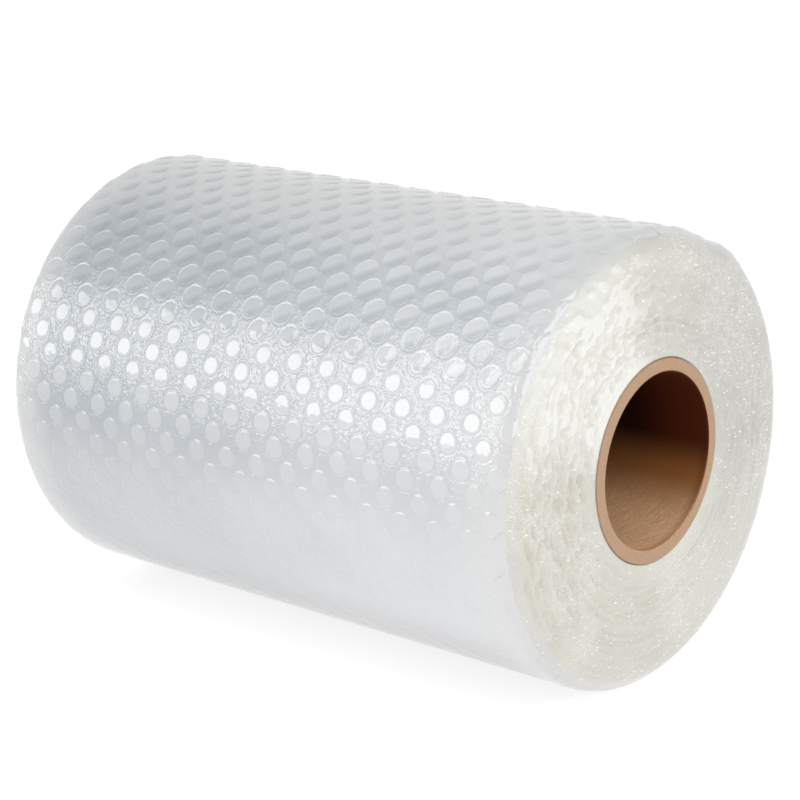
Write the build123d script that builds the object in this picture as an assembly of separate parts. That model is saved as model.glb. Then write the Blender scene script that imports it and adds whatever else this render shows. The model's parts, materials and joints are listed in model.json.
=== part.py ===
from build123d import *
import math
import os

# Bubble wrap roll lying on its side, in millimetres.
# The roll's axis runs along X, with the open end that faces the user at +X.
# +Z is up, and the origin is the middle of the footprint on the surface it lies on.

# --- Driving dimensions -------------------------------------------------------

roll_length = 295.0          # width of the film, from one cut end to the other
roll_radius = 102.5          # from the axis to the outside of the last turn, at its loose end
turn_thickness = 4.0         # one layer of bubble film as it lies in the roll
end_rounding = 10.0          # soft edge where the outer turns run out at both ends

tail_angle = 50.0            # where the loose end lies: degrees from the back (+Y) towards the top
tail_taper = 16.0            # length over which the cut end thins down, along the turn
flat_width = 30.0            # how much of the soft underside is pressed flat by the roll's weight

core_bore_radius = 38.1      # three inch tube
core_wall = 6.0              # thickness of the wound paper
core_stand_out = 1.0         # how far the tube stands proud of the film at each end
core_edge_rounding = 0.6     # worn corner of the cut paper
core_to_film_gap = 0.1       # first turn of film round the tube

# --- Worked out from them -----------------------------------------------------

core_outer_radius = core_bore_radius + core_wall
core_length = roll_length + 2 * core_stand_out
film_inner_radius = core_outer_radius + core_to_film_gap
quarter_drop = turn_thickness / 4
taper_angle = math.degrees(tail_taper / roll_radius)


def direction(angle):
    """Unit vector at an angle in degrees, in the plane of the roll's section."""
    return Vector(math.cos(math.radians(angle)), math.sin(math.radians(angle)))


# The second quarter of the last turn crosses the underside: its radius, how far its centre
# lies from the roll's axis, and so the height of the axis above the flat.
underside_radius = roll_radius - quarter_drop
underside_centre = direction(tail_angle - 90) * quarter_drop
axis_height = math.sqrt(underside_radius ** 2 - (flat_width / 2) ** 2) - underside_centre.Y


def film_outline():
    """The last turn of a roll, from its loose end down the back, under the roll, up the front and
    over the top: four quarter arcs, each a little smaller than the one before and tangent to it,
    closed by the thinned loose end, which runs smoothly onto the turn below."""
    arcs = []
    centre = Vector(0, 0)
    radius = roll_radius
    for quarter in range(4):
        start = tail_angle - 90 * quarter
        sweep = 90 - (taper_angle if quarter == 3 else 0)
        arcs.append(CenterArc(centre, radius, start, -sweep))
        centre = centre + direction(start - 90) * quarter_drop
        radius = radius - quarter_drop
    loose_end = Spline(arcs[-1] @ 1, arcs[0] @ 0, tangents=(arcs[-1] % 1, arcs[0] % 0))
    return arcs + [loose_end]


def along_roll(length):
    """Workplane across the roll at its left end, for something of this length: sketch X is the
    row's Y and sketch Y is its Z."""
    return Plane(origin=(-length / 2, 0, axis_height), x_dir=(0, 1, 0), z_dir=(1, 0, 0))


def make_bubble_wrap():
    """All the turns of film as one solid, with a flat underside and soft outer edges."""
    section = make_face(film_outline())
    above_surface = Pos(0, roll_radius - axis_height) * Rectangle(4 * roll_radius, 2 * roll_radius)
    section = section & above_surface
    winding = extrude(along_roll(roll_length) * section, amount=roll_length)
    ends = winding.faces().sort_by(Axis.X)
    outer_edges = ends[0].edges() + ends[-1].edges()
    winding = fillet(outer_edges, end_rounding)
    hole = extrude(along_roll(roll_length) * Circle(film_inner_radius), amount=roll_length)
    return winding - hole


def make_cardboard_core():
    """Paper tube that the film is wound on."""
    ring = Circle(core_outer_radius) - Circle(core_bore_radius)
    tube = extrude(along_roll(core_length) * ring, amount=core_length)
    ends = tube.faces().sort_by(Axis.X)
    return fillet(ends[0].edges() + ends[-1].edges(), core_edge_rounding)


pieces = {
    "bubble_wrap": make_bubble_wrap(),
    "cardboard_core": make_cardboard_core(),
}

os.makedirs("parts", exist_ok=True)
for node, piece in pieces.items():
    export_step(piece, f"parts/{node}.step")
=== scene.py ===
import json
import math

import bpy
import numpy as np
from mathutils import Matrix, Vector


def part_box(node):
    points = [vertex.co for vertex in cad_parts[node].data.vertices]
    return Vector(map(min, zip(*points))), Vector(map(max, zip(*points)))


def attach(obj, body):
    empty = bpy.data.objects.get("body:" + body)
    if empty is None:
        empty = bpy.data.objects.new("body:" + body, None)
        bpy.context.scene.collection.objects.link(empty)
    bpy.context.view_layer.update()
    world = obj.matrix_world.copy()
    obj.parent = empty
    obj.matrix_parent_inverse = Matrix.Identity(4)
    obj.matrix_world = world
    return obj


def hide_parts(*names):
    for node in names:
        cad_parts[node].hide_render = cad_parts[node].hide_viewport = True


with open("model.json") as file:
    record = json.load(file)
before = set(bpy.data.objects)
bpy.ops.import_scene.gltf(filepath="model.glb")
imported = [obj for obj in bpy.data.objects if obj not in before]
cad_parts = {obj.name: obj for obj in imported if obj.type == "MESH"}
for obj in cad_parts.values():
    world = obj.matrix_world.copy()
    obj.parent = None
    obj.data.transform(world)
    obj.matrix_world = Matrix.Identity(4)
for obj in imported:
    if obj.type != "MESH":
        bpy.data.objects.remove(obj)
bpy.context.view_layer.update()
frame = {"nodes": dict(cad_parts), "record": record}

# --- Cardboard tube ---------------------------------------------------------------------------
# The tube is wound from strips of brown kraft paper, glued one over the other at a slant, and
# cut to length with a saw. The fibres inside follow the strips, and the cut rim shows the edges
# of the layers. Inside, light and shade are painted on: the paper is pale on the floor, as if lit,
# and deep brown up the wall and overhead, darker further in, as painted shade.

tube = frame["nodes"]["cardboard_core"]
tube_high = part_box("cardboard_core")[1]
tube_radius = tube_high.y
tube_end = tube_high.x
mounts = {mount["name"]: mount for mount in frame["record"]["mounts"]}
axis_height = mounts["core_bore"]["pos_m"][2]
bore_radius = mounts["core_bore"]["dims"]["r_mm"] / 1000

kraft_light = (0.52, 0.345, 0.225)
kraft_dark = (0.33, 0.19, 0.105)
kraft_stain = (0.40, 0.25, 0.155)
kraft_edge = (0.48, 0.325, 0.22)
# Inside the bore: painted light on the floor, painted shade on the wall, overhead and deep in.
bore_floor_lit = (0.98, 0.60, 0.34)
bore_wall_shade = (0.29, 0.115, 0.032)
bore_roof_shade = (0.068, 0.012, 0.002)
bore_deep_shade = (0.022, 0.004, 0.001)
strip_slant = math.radians(24)
fibre_stretch = 0.06
fibre_scale, fleck_scale, stain_scale = 1900.0, 900.0, 38.0
ply_thickness = 0.0007
paper_relief = 0.00025


class Nodes:
    """Short way to fill a material: each call adds one node, sets its sockets and returns it, or
    the socket that it gives. A socket named i and a number is meant by its place in the list."""

    def __init__(self, name):
        self.material = bpy.data.materials.new(name)
        self.material.use_nodes = True
        self.tree = self.material.node_tree
        self.shader = self.tree.nodes["Principled BSDF"]

    def add(self, kind, options=None, **sockets):
        made = self.tree.nodes.new("ShaderNode" + kind)
        for option, value in (options or {}).items():
            setattr(made, option, value)
        for socket, value in sockets.items():
            self.put(made, socket.replace("_", " "), value)
        return made

    def put(self, made, socket, value):
        """Link a socket to another one, or give it a plain value. A colour is red, green, blue."""
        target = made.inputs[int(socket[1:]) if socket[0] == "i" and socket[1:].isdigit() else socket]
        if isinstance(value, bpy.types.NodeSocket):
            self.tree.links.new(value, target)
        elif isinstance(value, tuple):
            target.default_value = (*value, 1.0)
        else:
            target.default_value = value

    def place(self):
        return self.add("TexCoord").outputs["Object"]

    def attribute(self, name):
        return self.add("Attribute", {"attribute_name": name}).outputs["Fac"]

    def math(self, operation, first, second=0.0):
        return self.add("Math", {"operation": operation}, i0=first, i1=second).outputs[0]

    def times(self, *values):
        product = values[0]
        for value in values[1:]:
            product = self.math("MULTIPLY", product, value)
        return product

    def plus(self, first, second):
        return self.math("ADD", first, second)

    def minus(self, first, second):
        return self.math("SUBTRACT", first, second)

    def size(self, value):
        return self.math("ABSOLUTE", value)

    def ramp(self, value, low, high, to_low=0.0, to_high=1.0):
        """Smooth step from to_low to to_high as the value goes from low to high."""
        made = self.add("MapRange", {"interpolation_type": "SMOOTHSTEP"}, Value=value, From_Min=low,
                        From_Max=high, To_Min=to_low, To_Max=to_high)
        return made.outputs[0]

    def mix(self, factor, first, second):
        """The first colour at factor 0, the second one at factor 1."""
        return self.add("Mix", {"data_type": "RGBA"}, i0=factor, i6=first, i7=second).outputs[2]

    def noise(self, vector, scale, detail=2.0, roughness=0.5, distortion=0.0):
        made = self.add("TexNoise", Vector=vector, Scale=scale, Detail=detail, Roughness=roughness,
                        Distortion=distortion)
        return made.outputs["Fac"]

    def bump(self, height, strength, distance):
        return self.add("Bump", Height=height, Strength=strength, Distance=distance).outputs["Normal"]

    def finish(self, **sockets):
        """Set the shader's own sockets."""
        for socket, value in sockets.items():
            self.put(self.shader, socket.replace("_", " "), value)


def round_the_axis(nodes):
    """The angle about the roll's axis, counted up from the back, the distance along the axis and
    the distance from it, each as a socket, from Object coordinates."""
    place = nodes.add("SeparateXYZ", Vector=nodes.place()).outputs
    up = nodes.minus(place["Z"], axis_height)
    angle = nodes.math("ARCTAN2", up, place["Y"])
    radius = nodes.math("SQRT", nodes.plus(nodes.times(up, up), nodes.times(place["Y"], place["Y"])))
    return angle, place["X"], radius


def kraft_paper():
    """Noise drawn out along the slanted strips for fibres, a finer one for flecks, a slow one for
    stains, and a sine of the radius on the rim for the layers. Inside, light and shade are painted
    into the tone: it goes from a lit floor to a shaded wall and top with the sine of the angle,
    gets darker away from the nearer mouth, and darker again just inside the mouth."""
    nodes = Nodes("kraft_paper")
    angle, along, radius = round_the_axis(nodes)
    around = nodes.times(angle, bore_radius)
    with_strip = nodes.plus(nodes.times(around, math.cos(strip_slant)),
                            nodes.times(along, math.sin(strip_slant)))
    across_strip = nodes.minus(nodes.times(along, math.cos(strip_slant)),
                               nodes.times(around, math.sin(strip_slant)))
    fibre_place = nodes.add("CombineXYZ", X=nodes.times(with_strip, fibre_stretch), Y=across_strip,
                            Z=radius).outputs[0]
    fibres = nodes.noise(fibre_place, fibre_scale, 4.0, 0.7, 0.4)
    place = nodes.place()
    flecks = nodes.noise(place, fleck_scale, 3.0, 0.7)
    stains = nodes.noise(place, stain_scale, 2.0, 0.5)
    rings = nodes.math("SINE", nodes.times(radius, 2 * math.pi / ply_thickness))
    rim = nodes.ramp(nodes.size(along), tube_end - 0.0008, tube_end - 0.0004)
    shade = nodes.ramp(nodes.plus(nodes.times(fibres, 0.6), nodes.times(flecks, 0.4)), 0.36, 0.64)
    colour = nodes.mix(shade, kraft_dark, kraft_light)
    colour = nodes.mix(nodes.times(stains, 0.35), colour, kraft_stain)
    colour = nodes.mix(nodes.times(rim, 0.6), colour, kraft_edge)

    # Painted light and shade inside the bore: a lit floor, a shaded wall and top, darker deeper in and just
    # inside the mouth.
    height = nodes.math("SINE", angle)
    depth = nodes.minus(tube_end, nodes.size(along))
    roof_shade = nodes.mix(nodes.ramp(depth, 0.012, 0.042), bore_roof_shade, bore_deep_shade)
    grain_and_shade = nodes.mix(shade, nodes.mix(0.5, bore_floor_lit, kraft_dark), bore_floor_lit)
    grain_and_shade = nodes.mix(nodes.ramp(height, -0.98, -0.40), grain_and_shade, bore_wall_shade)
    grain_and_shade = nodes.mix(nodes.ramp(height, -0.50, 0.02), grain_and_shade, roof_shade)
    grain_and_shade = nodes.mix(nodes.ramp(depth, 0.005, 0.0005, 0.0, 0.35), grain_and_shade, roof_shade)
    inside = nodes.ramp(radius, bore_radius + 0.0009, bore_radius + 0.0003)
    relief = nodes.plus(fibres, nodes.times(rings, rim, 0.25))
    nodes.finish(Base_Color=nodes.mix(inside, colour, grain_and_shade), Specular_IOR_Level=0.1,
                 Roughness=nodes.ramp(flecks, 0.3, 0.7, 0.72, 0.9),
                 Normal=nodes.bump(relief, 0.5, paper_relief))
    return nodes.material


tube.data.materials.clear()
tube.data.materials.append(kraft_paper())

# --- Wound film -------------------------------------------------------------------------------
# Some fifteen turns of soft polyethylene film with air bubbles, wound tight on the tube. Many
# clear layers together look milky. This is the mass of turns that lies under the last one and
# behind the cut ends.

film_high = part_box("bubble_wrap")[1]
outer_radius = film_high.y
half_width = film_high.x
layer_thickness = 0.004
quarter_drop = layer_thickness / 4
end_rounding = 0.010
straight_reach = half_width - end_rounding
loose_end = math.radians(50)
tail_taper = 0.028
taper_angle = tail_taper / outer_radius
body_columns = 240
body_depth = 0.003
body_inset = 0.006
body_corner = 0.008
tube_clearance = 0.0002
milky_dark = (0.66, 0.67, 0.64)
milky_light = (0.72, 0.72, 0.70)


def spiral_radius(angle):
    """Radius of the last turn at an angle from the loose end, down the back and round. It is four
    quarter circles, each a quarter of a layer smaller than the one before, with its centre moved
    by the same amount so that they meet without a corner: along a ray u, a circle of radius p
    about a centre c is at c.u + sqrt(p^2 - |c|^2 + (c.u)^2)."""
    turn = np.asarray(angle, float) % (2 * math.pi)
    layer = np.floor(np.asarray(angle, float) / (2 * math.pi))
    quarter = np.floor(turn / (math.pi / 2))
    centre_a = np.where(quarter >= 2, -quarter_drop, 0.0)
    centre_b = np.where((quarter == 1) | (quarter == 2), quarter_drop, 0.0)
    size = outer_radius - quarter * quarter_drop
    reach = centre_a * np.cos(turn) + centre_b * np.sin(turn)
    across = size ** 2 - centre_a ** 2 - centre_b ** 2 + reach ** 2
    return reach + np.sqrt(across) - layer * layer_thickness


def outline_radius(angle):
    """The roll's outline: the last turn, with a smooth ramp up to the loose end that lies on it."""
    turn = np.asarray(angle, float) % (2 * math.pi)
    ramp = np.clip((turn - 2 * math.pi + taper_angle) / taper_angle, 0, 1)
    ramp = ramp * ramp * (3 - 2 * ramp)
    return spiral_radius(turn) * (1 - ramp) + outer_radius * ramp


def to_frame(along, angle, radius, lowest):
    """Points in the object's frame from the distance along the roll, the angle from the loose end
    and the distance from the axis. None goes below the lowest height, where the roll is flat."""
    turned = loose_end - angle
    height = np.maximum(axis_height + radius * np.sin(turned), lowest)
    return np.stack([along + 0 * height, radius * np.cos(turned) + 0 * height, height], axis=-1)


def make_piece(name, points, faces, smooth=True):
    """An object at the origin from an array of points and lists of corners."""
    mesh = bpy.data.meshes.new(name)
    mesh.from_pydata(points.reshape(-1, 3).tolist(), [], faces)
    mesh.polygons.foreach_set("use_smooth", np.full(len(mesh.polygons), smooth))
    mesh.update()
    piece = bpy.data.objects.new(name, mesh)
    bpy.context.scene.collection.objects.link(piece)
    return piece


def add_attribute(piece, name, values):
    """One number for each point of the mesh, for its material to read."""
    made = piece.data.attributes.new(name, "FLOAT", "POINT")
    made.data.foreach_set("value", values.ravel().astype(np.float32))


def ring_faces(rows, columns, closed=False):
    """Quads of a grid whose columns go all the way round, and whose rows do too where closed."""
    row = np.arange(rows if closed else rows - 1)[:, None]
    column = np.arange(columns)
    after, across = (row + 1) % rows, (column + 1) % columns
    return np.stack([row * columns + column, row * columns + across, after * columns + across,
                     after * columns + column], axis=-1).reshape(-1, 4)


def wound_body():
    """A ring of turns: a closed profile, out along one end and back along the other, carried round
    the axis, with the outside a little under the outline and its corners cut off."""
    angle = np.linspace(0, 2 * math.pi, body_columns, endpoint=False)
    inner = tube_radius + tube_clearance + 0 * angle
    outside = outline_radius(angle) - body_depth
    reach = half_width - body_inset
    profile = [(reach, inner), (reach, outside - body_corner), (reach - body_inset, outside)]
    profile = profile + [(-along, radius) for along, radius in reversed(profile)]
    rows = np.array([to_frame(along, angle, radius, body_depth) for along, radius in profile])
    return make_piece("wound_film", rows, ring_faces(len(rows), body_columns, closed=True).tolist())


def milky_film():
    """Many layers deep: pale, with slow clouds of warmer and cooler tone and fine creases."""
    nodes = Nodes("milky_film")
    place = nodes.place()
    clouds = nodes.noise(place, 60.0, 3.0, 0.6)
    creases = nodes.noise(place, 700.0, 4.0, 0.7, 1.5)
    nodes.finish(Base_Color=nodes.mix(nodes.ramp(clouds, 0.35, 0.65), milky_dark, milky_light),
                 Roughness=nodes.ramp(creases, 0.3, 0.7, 0.25, 0.5),
                 Normal=nodes.bump(creases, 0.6, 0.0008))
    return nodes.material


wound_film = wound_body()
wound_film.data.materials.append(milky_film())
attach(wound_film, "root")

# --- Cut ends of the turns --------------------------------------------------------------------
# At both ends the blade leaves the edges of every turn, one behind the other. They are soft, and
# crumple and lean together into one creased cream face, rounded where the outer turns run out.

end_columns, bend_rows, flat_rows = 1000, 12, 62
first_row_in = math.radians(22)
end_settle = 0.0014
end_inset = 0.0010
end_clearance = 0.0003
end_floor = 0.0012
back_inset = 0.012
crest_height = 0.0004
hollow_depth = 0.0007
streak_height = 0.00022
lump_height, crushed_height = 0.00005, 0.00055
most_relief = 0.0010
tube_rise, tube_rise_width = 0.0014, 0.005
relief_from, relief_over = math.radians(42), math.radians(25)

cream = (0.51, 0.478, 0.405)
cream_grey_side = (0.350, 0.335, 0.298)
cream_crushed = (0.70, 0.69, 0.635)
cream_streak = (0.58, 0.555, 0.49)
cream_frosted = (0.62, 0.60, 0.53)
cream_crest = (0.66, 0.65, 0.60)
cream_clump = (0.84, 0.835, 0.79)
last_turn_edge = (0.56, 0.565, 0.555)
# Painted glints on the cut film.
glint_white = (0.94, 0.94, 0.92)
grey_side = math.radians(12)
crushed_side = math.radians(135)
frosted_side = math.radians(-45)
streak_turn, streak_depth = 0.045, 1.6
streak_scale, crease_scale, speck_scale, cloud_scale = 330.0, 620.0, 380.0, 26.0


def crumple(rows, columns, across, around, seed):
    """Chance heights with no pattern, between about -2 and 2: white noise on the grid, smoothed
    by a Gaussian of this many cells each way. It meets itself all the way round."""
    noise = np.random.default_rng(seed).normal(size=(rows, columns))
    wave_rows = np.fft.fftfreq(rows)[:, None]
    wave_columns = np.fft.fftfreq(columns)
    smooth = np.exp(-2 * (math.pi * wave_rows * across) ** 2 - 2 * (math.pi * wave_columns * around) ** 2)
    field = np.fft.ifft2(np.fft.fft2(noise) * smooth).real
    return field / field.std()


def cut_end(name, side, seed):
    """A face of revolution: its profile comes from under the last turn, round the quarter circle
    of the rounding and straight in to the tube. Each turn's edge stands up as a crest of the
    spiral, where the depth below the outline is a whole number of layers, with hollows between
    that go as the square of a sine. Long streaks lie over that, and lumps where the turns were
    crushed at the front. The turns stand up to the rim of the tube."""
    angle = np.linspace(0, 2 * math.pi, end_columns, endpoint=False)[None, :]
    outline = outline_radius(angle) - end_settle
    bend = np.linspace(first_row_in, math.pi / 2, bend_rows)[:, None]
    share = np.linspace(0, 1, flat_rows + 1)[1:, None]
    inner = tube_radius + end_clearance
    bend_radius = outline - end_rounding * (1 - np.cos(bend))
    flat_radius = (outline - end_rounding) * (1 - share) + inner * share
    radius = np.concatenate([bend_radius, flat_radius])
    lean = np.concatenate([bend, 0 * share + math.pi / 2])
    reach = half_width - end_inset - end_rounding * (1 - np.sin(lean))
    rows = len(radius)

    turned = loose_end - angle
    front = np.clip(0.5 - 0.5 * np.cos(turned) + 0.25 * np.sin(turned), 0, 1)
    folds = crumple(rows, end_columns, 2.2, 26.0, seed)
    streaks = crumple(rows, end_columns, 1.0, 14.0, seed + 1)
    lumps = crumple(rows, end_columns, 1.4, 3.4, seed + 2)
    patches = np.clip(0.6 + 0.4 * crumple(rows, end_columns, 8.0, 60.0, seed + 3), 0.1, 1.4)
    layers = (outline_radius(angle) - radius) / layer_thickness + angle / (2 * math.pi) + 0.22 * folds
    hollow = np.sin(math.pi * layers) ** 2
    relief = crest_height - hollow_depth * hollow * patches + streak_height * streaks * patches
    relief = relief + (lump_height + crushed_height * front ** 3) * lumps
    relief = np.minimum(relief * np.clip((lean - relief_from) / relief_over, 0, 1), most_relief)
    near_tube = np.exp(-(radius - inner) / tube_rise_width)
    relief = relief * (1 - near_tube) + tube_rise * near_tube
    reach = reach + relief * np.sin(lean)
    radius = np.maximum(radius + relief * np.cos(lean), inner)

    back_reach = side * (half_width - back_inset)
    back_inner = to_frame(back_reach, angle[0], inner + 0 * angle[0], 0.002)
    back_outer = to_frame(back_reach, angle[0], outline[0] - 0.002, 0.002)
    points = np.concatenate([to_frame(side * reach, angle, radius, end_floor), back_inner[None],
                             back_outer[None]])
    faces = ring_faces(rows + 2, end_columns, closed=True)
    faces = faces[:, ::-1] if side > 0 else faces
    piece = make_piece(name, points, faces.tolist())
    crest = np.clip(0.5 + relief / 0.0012, 0, 1)
    add_attribute(piece, "crest", np.concatenate([crest, np.zeros((2, end_columns))]))
    return piece


def cut_film():
    """Clear film seen edge on: cream, white where it was crushed, greyer towards the back, with
    faint streaks round the roll, and painted glints: fine white lines where creases would catch
    the light, and scattered bright specks. Each lobe of tone is a cosine of the angle from its side.
    The streak noise reads a direction from the axis and the radius, so it has no seam."""
    nodes = Nodes("cut_film")
    place = nodes.place()
    angle, along, radius = round_the_axis(nodes)
    round_place = nodes.add("CombineXYZ", X=nodes.times(nodes.math("COSINE", angle), streak_turn),
                            Y=nodes.times(nodes.math("SINE", angle), streak_turn),
                            Z=nodes.times(radius, streak_depth)).outputs[0]
    clouds = nodes.noise(place, cloud_scale, 2.0, 0.5)
    streaks = nodes.noise(round_place, streak_scale, 2.0, 0.5, 0.8)
    fine = nodes.noise(place, crease_scale, 2.0, 0.5, 1.8)
    # Painted glints: thin white lines along noise ridges and scattered bright specks, where creases and
    # edges would catch the light.
    squiggle = nodes.ramp(nodes.size(nodes.minus(fine, 0.5)), 0.030, 0.010)
    squiggle = nodes.times(squiggle, nodes.ramp(clouds, 0.45, 0.62), 0.55)
    stray = nodes.add("CombineXYZ", X=0.0, Y=nodes.times(fine, 0.006), Z=0.0).outputs[0]
    speck_place = nodes.add("VectorMath", {"operation": "ADD"}, i0=place, i1=stray).outputs[0]
    specks = nodes.add("TexVoronoi", Vector=speck_place, Scale=speck_scale).outputs
    chance = nodes.add("SeparateXYZ", Vector=specks["Color"]).outputs["X"]
    speck = nodes.times(nodes.ramp(specks["Distance"], 0.20, 0.10), nodes.ramp(chance, 0.45, 0.50), 0.9)
    white = nodes.math("MAXIMUM", squiggle, speck)

    def lobe(towards):
        return nodes.math("COSINE", nodes.minus(angle, towards))

    crest = nodes.attribute("crest")
    crushed = lobe(crushed_side)
    # Greyer towards the back of the face.
    colour = nodes.mix(nodes.ramp(lobe(grey_side), 0.1, 0.95), cream, cream_grey_side)
    colour = nodes.mix(nodes.ramp(crushed, 0.72, 1.0), colour, cream_crushed)
    colour = nodes.mix(nodes.ramp(streaks, 0.40, 0.66, 0.0, 0.28), colour, cream_streak)
    colour = nodes.mix(nodes.ramp(lobe(frosted_side), 0.7, 1.0, 0.0, 0.5), colour, cream_frosted)
    colour = nodes.mix(nodes.times(crest, 0.28), colour, cream_crest)
    clump = nodes.times(nodes.ramp(crest, 0.82, 1.0), nodes.ramp(crushed, 0.72, 1.0, 0.0, 0.5))
    colour = nodes.mix(clump, colour, cream_clump)
    colour = nodes.mix(nodes.ramp(radius, outer_radius - 0.011, outer_radius - 0.004, 0.0, 0.7), colour,
                       last_turn_edge)
    height = nodes.plus(nodes.times(streaks, 0.6), nodes.times(fine, 0.6))
    nodes.finish(Base_Color=nodes.mix(white, colour, glint_white),
                 Roughness=nodes.ramp(fine, 0.3, 0.7, 0.35, 0.55), Coat_Weight=1.0, Coat_Roughness=0.08,
                 Coat_IOR=1.75, Coat_Normal=nodes.bump(height, 0.8, 0.0008))
    return nodes.material


cut_finish = cut_film()
for end_name, side, seed in (("cut_end_near", 1, 31), ("cut_end_far", -1, 57)):
    end = cut_end(end_name, side, seed)
    end.data.materials.append(cut_finish)
    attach(end, "root")

# --- Last turn --------------------------------------------------------------------------------
# One continuous sheet: a flat film welded to a formed one, with a blister of air at every
# crossing of a slanted grid. Between the blisters the welded film is cockled. The sheet ends in
# a plain cut across the roll, where the blisters are flat.

column_spacing = 0.0178
row_angle = math.radians(5.413)
mean_radius = 0.0997
row_spacing = row_angle * mean_radius
row_drift = 0.00105
first_column = 0.00335
first_row, last_row = -3, 68
outer_column = 9
blister_radius = 0.0061
blister_height = 0.00044
spokes = 12
ring_shares = np.array([0.50, 0.70, 0.79, 1.0])
cell_share = 1.25
film_settle = 0.0008
tail_tuck = 0.0004
sheet_reach = straight_reach + 0.0072
edge_dip, dip_width = 0.0010, 0.0100
flat_edge = 0.006
pressed_height, free_height = 0.050, 0.120
merge_steps = 1e5
least_area = 1e-9


def blister_profile(share):
    """Height of a blister at a share of its radius, as part of its full height: a crown that
    falls away with the square of the share as far as a crease, then a flank down to the weld."""
    crown = 1 - 0.30 * share ** 2
    flank = 0.853 * np.clip((1 - share) / 0.30, 0, 1) ** 1.9
    return np.where(share < 0.701, crown, flank)


def blister_sheet(name, seed):
    """The last turn. Every blister is a fan and rings of points about its centre, and a last ring
    on the slanted cell that it shares with its four neighbours, so the cells close up into one
    sheet. The sheet is laid on the spiral, thins into the turn below at the loose end, runs on
    under it for a row, and follows the rounded ends. Points past a cut are moved on to it, and
    the triangles that this folds over, with no area or a negative one, are left out."""
    chance = np.random.default_rng(seed)
    row, column = np.meshgrid(np.arange(first_row, last_row + 1), np.arange(-outer_column, outer_column + 1),
                              indexing="ij")
    row, column = row.ravel(), column.ravel()
    start = first_column + row * row_drift + (row % 2) * column_spacing / 2
    centre_along = (start + column_spacing / 2) % column_spacing + (column - 0.5) * column_spacing
    centre_round = row * row_spacing
    cells = len(row)

    turn = np.arange(spokes) * 2 * math.pi / spokes
    circle = np.stack([np.cos(turn), np.sin(turn)], axis=-1)
    rings = ring_shares[:, None, None] * blister_radius * circle
    corner = np.array([[column_spacing / 2, 0], [row_drift, row_spacing], [-column_spacing / 2, 0],
                       [-row_drift, -row_spacing], [column_spacing / 2, 0]])
    part = (np.arange(spokes) % 3)[:, None] / 3
    whole = np.arange(spokes) // 3
    cell_edge = corner[whole] * (1 - part) + corner[whole + 1] * part
    template = np.concatenate([np.zeros((1, 2)), rings.reshape(-1, 2), cell_edge])
    share = np.concatenate([[0], np.repeat(ring_shares, spokes), np.full(spokes, cell_share)])
    count = len(template)

    along = (centre_along[:, None] + template[:, 0]).ravel()
    distance = (centre_round[:, None] + template[:, 1]).ravel()
    full_length = 2 * math.pi * mean_radius
    along = np.clip(along, -sheet_reach, sheet_reach)
    distance = np.clip(distance, -tail_taper, full_length + row_spacing)
    to_cut = sheet_reach - np.abs(along)
    near_cut = np.clip(to_cut / flat_edge, 0, 1)
    near_tail = np.clip((distance + tail_taper) / tail_taper, 0, 1)
    angle = distance / mean_radius
    turned = loose_end - angle
    stands_at = axis_height + mean_radius * np.sin(turned)
    lifted = np.clip((stands_at - pressed_height) / (free_height - pressed_height), 0, 1)

    rise = blister_profile(np.minimum(share, 1.0)) * (share < 1)
    size = chance.uniform(0.8, 1.15, (cells, 1))
    lean = chance.normal(0, 0.10, (cells, 2)) @ (template / blister_radius).T
    puff = (rise * (size + lean)).ravel() * near_cut * near_tail * (0.15 + 0.85 * lifted)
    lift = blister_height * puff - edge_dip * np.clip(1 - to_cut / dip_width, 0, 1) ** 2
    ground = np.where(distance < 0, outline_radius(angle), spiral_radius(angle)) - film_settle
    ground = ground - np.where(distance < 0, tail_tuck * (1 - near_tail) * near_cut, 0)
    bend = np.clip((np.abs(along) - straight_reach) / end_rounding, 0, math.pi / 2)
    out = np.minimum(np.abs(along), straight_reach) + (end_rounding + lift - film_settle) * np.sin(bend)
    radius = ground - end_rounding + end_rounding * np.cos(bend) + lift * np.cos(bend)
    points = to_frame(np.sign(along) * out, angle, radius, 0.0001)

    flat = np.stack([along, distance], axis=-1)
    key = np.floor(flat * merge_steps + 0.37).astype(np.int64)
    _, kept, where = np.unique(key, axis=0, return_index=True, return_inverse=True)
    fan = np.stack([np.zeros(spokes, int), 1 + np.arange(spokes), 1 + (np.arange(spokes) + 1) % spokes,
                    np.zeros(spokes, int)], axis=-1)
    bands = ring_faces(len(ring_shares) + 1, spokes)[:, ::-1] + 1
    corners = np.concatenate([fan, bands]) + (np.arange(cells) * count)[:, None, None]
    corners = where.ravel()[corners.reshape(-1, 4)]
    corners = np.concatenate([corners[:, :3], corners[:, [0, 2, 3]]])
    flat = flat[kept][corners]
    one, two = flat[:, 1] - flat[:, 0], flat[:, 2] - flat[:, 0]
    area = one[:, 0] * two[:, 1] - one[:, 1] * two[:, 0]
    piece = make_piece(name, points[kept], corners[area > least_area].tolist())

    every_share = np.tile(share, cells)
    # Where each point lies in its blister towards the upper left, read by the film's painted shade and
    # highlights.
    uphill = np.clip(-1.3 * np.cos(turned), -1, 1) * np.tile(template[:, 1], cells)
    facing = (0.85 * uphill - 0.5 * np.tile(template[:, 0], cells)) / blister_radius * (every_share < 1.1)
    add_attribute(piece, "from_centre", every_share[kept])
    add_attribute(piece, "fullness", (near_cut * near_tail * lifted ** 2)[kept])
    add_attribute(piece, "facing_up", facing[kept])
    return piece


# Tones at the far and the near end of the roll, for each zone of the film. They paint in light
# and shade: greyer towards the far end and on the upper flanks, paler on top and low down.
lit_low_tones = (0.405, 0.417, 0.435), (0.585, 0.588, 0.60)
lit_high_tones = (0.305, 0.335, 0.36), (0.49, 0.51, 0.525)
lit_top_tones = (0.53, 0.53, 0.515), (0.625, 0.625, 0.61)
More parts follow.
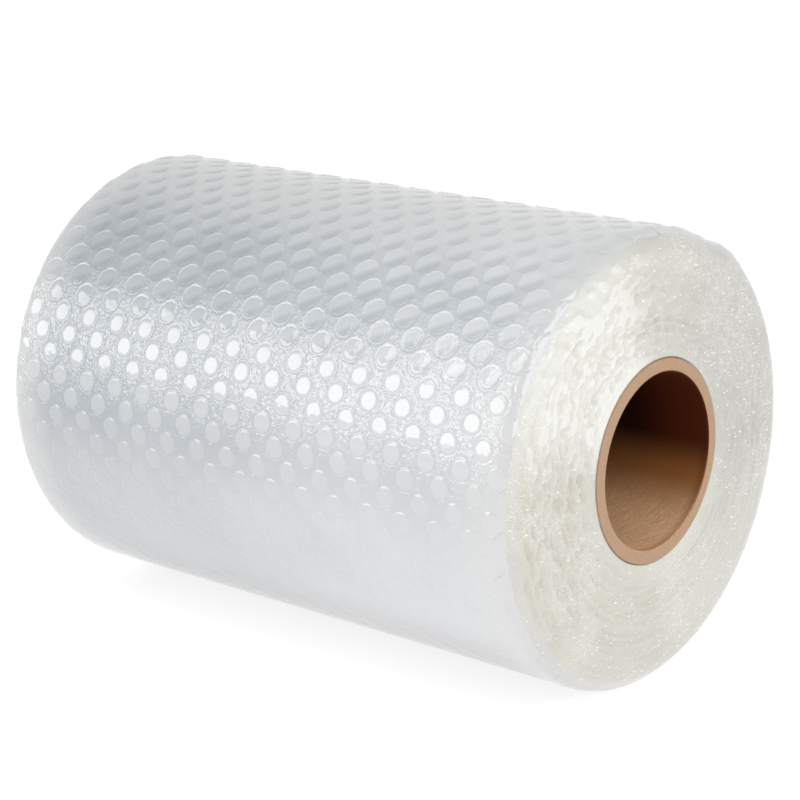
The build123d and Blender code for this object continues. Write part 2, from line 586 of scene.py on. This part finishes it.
# Crowns paler than the land: painted light, most in the upper zone.
lit_crown_tones = (0.53, 0.545, 0.56), (0.60, 0.61, 0.61)
lit_high_crown_tones = (0.35, 0.378, 0.40), (0.64, 0.655, 0.66)
# Painted shade on the lower right side of the blisters in the upper zone.
blister_shade_tones = (0.25, 0.285, 0.31), (0.40, 0.425, 0.44)
# Painted highlight on the upper left edge of each weld.
rim_highlight_white = (0.72, 0.73, 0.73)
# Painted glints on the wrinkled land where the soft light reflects.
wrinkle_glint_white = (0.85, 0.85, 0.84)
# Painted shade low on the roll, near the table.
contact_shade_grey = (0.20, 0.20, 0.205)
# Paler near both ends: painted light, as if coming in through the cut ends.
end_glow_tone = (0.60, 0.60, 0.58)

# Heights over the table between which one zone of the film passes into the next. The zones that
# set the tone carry painted light and shade; the others set the bumps.
high_zone = (0.070, 0.112)
crown_zone = (0.136, 0.158)
top_zone = (0.176, 0.198)
crease_zone = (0.138, 0.160)
weld_zone = (0.130, 0.155)
calm_zone = (0.030, 0.070)
contact_shade_zone = (0.046, 0.006)
cockle_scale, dimple_scale, wrinkle_scale = 480.0, 120.0, 640.0
film_relief = 0.001


def bubble_film():
    """Clear glossy film over milky depth. The depth is shaded as a plain cylinder, because the
    light comes back from many layers down, and the gloss follows the blisters. Each crown ends in
    a crease, the weld is a groove, and between the welds the film is cockled. Light and shade are
    also painted into the tone: greyer away from the near end, greyer on the upper flanks and paler
    on top, crowns paler than the land and shaded on their lower side above the band, white
    highlights on the upper welds and on the wrinkles in the band, grey shade near the table, and
    paler within about 30 mm of both ends, as light coming in through the cut ends."""
    nodes = Nodes("bubble_film")
    place = nodes.place()
    along, across, height = nodes.add("SeparateXYZ", Vector=place).outputs
    to_side = nodes.size(along)
    from_centre = nodes.attribute("from_centre")
    fullness = nodes.attribute("fullness")
    facing_up = nodes.attribute("facing_up")
    clouds = nodes.noise(place, 22.0, 2.0, 0.5)
    cockle = nodes.noise(place, cockle_scale, 1.0, 0.5, 1.0)
    dimple = nodes.noise(place, dimple_scale, 2.0, 0.5)

    # Painted light and shade: greyer towards the far end and by height, with slow clouds of real tone.
    near = nodes.plus(nodes.ramp(along, -half_width, half_width), nodes.ramp(clouds, 0.3, 0.7, -0.10, 0.10))
    above_band = nodes.ramp(height, *crown_zone)
    top = nodes.ramp(height, *top_zone)
    top_light_tone = nodes.mix(near, *lit_top_tones)
    high = nodes.ramp(height, *high_zone)
    colour = nodes.mix(high, nodes.mix(near, *lit_low_tones), nodes.mix(near, *lit_high_tones))
    colour = nodes.mix(top, colour, top_light_tone)
    # Painted light: the crowns paler than the land round them.
    crown = nodes.mix(above_band, nodes.mix(near, *lit_crown_tones), nodes.mix(near, *lit_high_crown_tones))
    crown = nodes.mix(top, crown, top_light_tone)
    # Painted shade on the lower right side of each blister above the band.
    blister_shade_side = nodes.times(nodes.ramp(facing_up, 0.10, -0.45), above_band,
                              nodes.ramp(height, 0.199, 0.180, 0.35, 0.85))
    crown = nodes.mix(blister_shade_side, crown, nodes.mix(near, *blister_shade_tones))
    disc_edge = nodes.minus(from_centre, nodes.ramp(height, *crown_zone, 0.78, 1.0))
    disc = nodes.times(nodes.ramp(disc_edge, 0.05, -0.05), fullness, 0.9)
    colour = nodes.mix(disc, colour, crown)
    # Painted highlight: a white rim on the upper left of each weld above the band.
    rim_highlight = nodes.times(nodes.ramp(from_centre, 0.84, 0.93), nodes.ramp(from_centre, 1.04, 0.98),
                           above_band, nodes.ramp(facing_up, 0.35, 0.75, 0.0, 0.5), fullness)
    colour = nodes.mix(rim_highlight, colour, rim_highlight_white)
    # Painted glints: fine white lines on the land in the band, where the soft light reflects.
    wrinkle_glints = nodes.size(nodes.minus(nodes.noise(place, wrinkle_scale, 1.0, 0.5, 1.2), 0.5))
    wrinkle_glints = nodes.times(nodes.ramp(wrinkle_glints, 0.040, 0.008), nodes.ramp(from_centre, 0.82, 0.90),
                          nodes.ramp(height, 0.098, 0.120), nodes.ramp(height, 0.165, 0.140), 0.6)
    colour = nodes.mix(wrinkle_glints, colour, wrinkle_glint_white)
    # Painted shade: greyer towards the table, where little light reaches.
    colour = nodes.mix(nodes.ramp(height, *contact_shade_zone, 0.0, 0.75), colour, contact_shade_grey)
    # Painted light: paler within about 30 mm of both ends.
    ends = nodes.ramp(to_side, half_width - 0.032, half_width - 0.006)
    colour = nodes.mix(nodes.times(ends, 0.7), colour, end_glow_tone)

    away = nodes.add("CombineXYZ", X=0.0, Y=across, Z=nodes.minus(height, axis_height)).outputs[0]
    away = nodes.add("VectorMath", {"operation": "NORMALIZE"}, i0=away).outputs[0]
    true_normal = nodes.add("NewGeometry").outputs["Normal"]
    inside = nodes.ramp(to_side, straight_reach + 0.004, straight_reach - 0.004, 0.0, 0.8)
    depth_normal = nodes.add("Mix", {"data_type": "VECTOR"}, i0=inside, i4=true_normal, i5=away).outputs[1]
    depth_normal = nodes.add("VectorMath", {"operation": "NORMALIZE"}, i0=depth_normal).outputs[0]

    crease = nodes.times(nodes.ramp(from_centre, 0.60, 0.80), nodes.ramp(height, *crease_zone, -0.30, 0.22))
    weld = nodes.times(nodes.ramp(from_centre, 0.96, 1.05), nodes.ramp(height, *weld_zone, 0.06, 0.24))
    cockled = nodes.times(cockle, nodes.ramp(from_centre, 0.82, 1.0), 0.55)
    calm = nodes.times(nodes.ramp(height, *calm_zone), nodes.ramp(height, 0.1995, 0.188, 0.4, 1.0),
                       nodes.ramp(to_side, half_width - 0.0050, half_width - 0.0095))
    relief = nodes.plus(nodes.times(nodes.plus(nodes.plus(crease, weld), cockled), calm),
                        nodes.times(dimple, 0.28))
    nodes.finish(Base_Color=colour, Roughness=nodes.ramp(cockle, 0.3, 0.7, 0.45, 0.55), Normal=depth_normal,
                 Coat_Weight=1.0, Coat_Roughness=0.06, Coat_IOR=1.95,
                 Coat_Normal=nodes.bump(relief, 1.0, film_relief))
    return nodes.material


last_turn = blister_sheet("last_turn", 71)
last_turn.data.materials.append(bubble_film())
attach(last_turn, "root")
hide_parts("bubble_wrap")

# --- Studio -----------------------------------------------------------------------------------
# A plain white table, a large soft light at the front left, a smaller one over it, one to the
# right, and an even pale room. The camera stands at the front right, a little above the roll.

table_size = 7.0
table_tones = (0.36, 0.36, 0.36), (0.40, 0.40, 0.40)
table_glow = 0.75
room_horizon, room_overhead = (0.95, 0.94, 0.92), (0.66, 0.69, 0.73)
room_left, room_right = (0.85, 0.86, 0.87), (0.70, 0.70, 0.69)


def white_table():
    """Flat square with a faint mottle in its tone, lit from below through its white sheet."""
    corners = table_size * np.array([[-1, -1, 0], [1, -1, 0], [1, 1, 0], [-1, 1, 0]], float)
    table = make_piece("table", corners, [[0, 1, 2, 3]], smooth=False)
    nodes = Nodes("table_white")
    mottle = nodes.noise(nodes.place(), 3.0)
    nodes.finish(Base_Color=nodes.mix(mottle, *table_tones), Roughness=0.9, Specular_IOR_Level=0.0,
                 Emission_Color=(1.0, 1.0, 1.0), Emission_Strength=table_glow)
    table.data.materials.append(nodes.material)


def looking_in(azimuth, elevation, distance, target):
    """Place and turn for something that looks at the target from an azimuth, counted from the
    front towards the right, and an elevation, both in degrees."""
    az, el = math.radians(azimuth), math.radians(elevation)
    back = (math.sin(az) * math.cos(el), -math.cos(az) * math.cos(el), math.sin(el))
    place = tuple(t + distance * b for t, b in zip(target, back))
    return place, (math.pi / 2 - el, 0.0, az)


def soft_light(name, azimuth, elevation, distance, size, radiance):
    """A flat panel that faces the roll from this compass angle and height. Its power is the
    radiance wanted times its area times pi, as it shines from one side only."""
    lamp = bpy.data.lights.new(name, "AREA")
    lamp.shape = "RECTANGLE"
    lamp.size, lamp.size_y = size
    lamp.energy = radiance * size[0] * size[1] * math.pi
    panel = bpy.data.objects.new(name, lamp)
    panel.location, panel.rotation_euler = looking_in(azimuth, elevation, distance, (0, 0, axis_height))
    panel.visible_camera = False
    bpy.context.scene.collection.objects.link(panel)


def pale_room():
    """Even light from all round, brighter near the horizon and to the left, dimmer overhead."""
    world = bpy.data.worlds.new("pale_room")
    world.use_nodes = True
    nodes = Nodes.__new__(Nodes)
    nodes.tree = world.node_tree
    way = nodes.add("SeparateXYZ", Vector=nodes.add("TexCoord").outputs["Generated"]).outputs
    colour = nodes.mix(nodes.ramp(way["Z"], 0.2, 0.75), room_horizon, room_overhead)
    colour = nodes.mix(nodes.ramp(way["X"], -0.35, -0.95), colour, room_left)
    colour = nodes.mix(nodes.ramp(way["X"], 0.3, 0.9), colour, room_right)
    nodes.put(world.node_tree.nodes["Background"], "Color", colour)
    nodes.put(world.node_tree.nodes["Background"], "Strength", 1.0)
    bpy.context.scene.world = world


white_table()
pale_room()
soft_light("front_left_light", azimuth=-39.4, elevation=17.0, distance=2.0, size=(1.2, 0.87), radiance=2.0)
soft_light("upper_left_light", azimuth=-32.0, elevation=44.0, distance=2.0, size=(0.7, 0.85), radiance=1.6)
soft_light("right_light", azimuth=75, elevation=30, distance=1.1, size=(0.9, 0.9), radiance=1.5)
bpy.context.scene.view_settings.view_transform = "Standard"

# The camera's aim is a little right of and above the middle of the roll.
camera_azimuth = 39.82
camera_elevation = 15.24
camera_distance = 1.1043
aim_right, aim_up = 0.00594, 0.00077
az, el = math.radians(camera_azimuth), math.radians(camera_elevation)
aim = (aim_right * math.cos(az) - aim_up * math.sin(az) * math.sin(el),
       aim_right * math.sin(az) + aim_up * math.cos(az) * math.sin(el),
       axis_height + aim_up * math.cos(el))
lens = bpy.data.cameras.new("camera")
lens.lens = 108.97
lens.sensor_width = 36.0
camera = bpy.data.objects.new("camera", lens)
camera.location, camera.rotation_euler = looking_in(camera_azimuth, camera_elevation, camera_distance, aim)
bpy.context.scene.collection.objects.link(camera)
bpy.context.scene.camera = camera
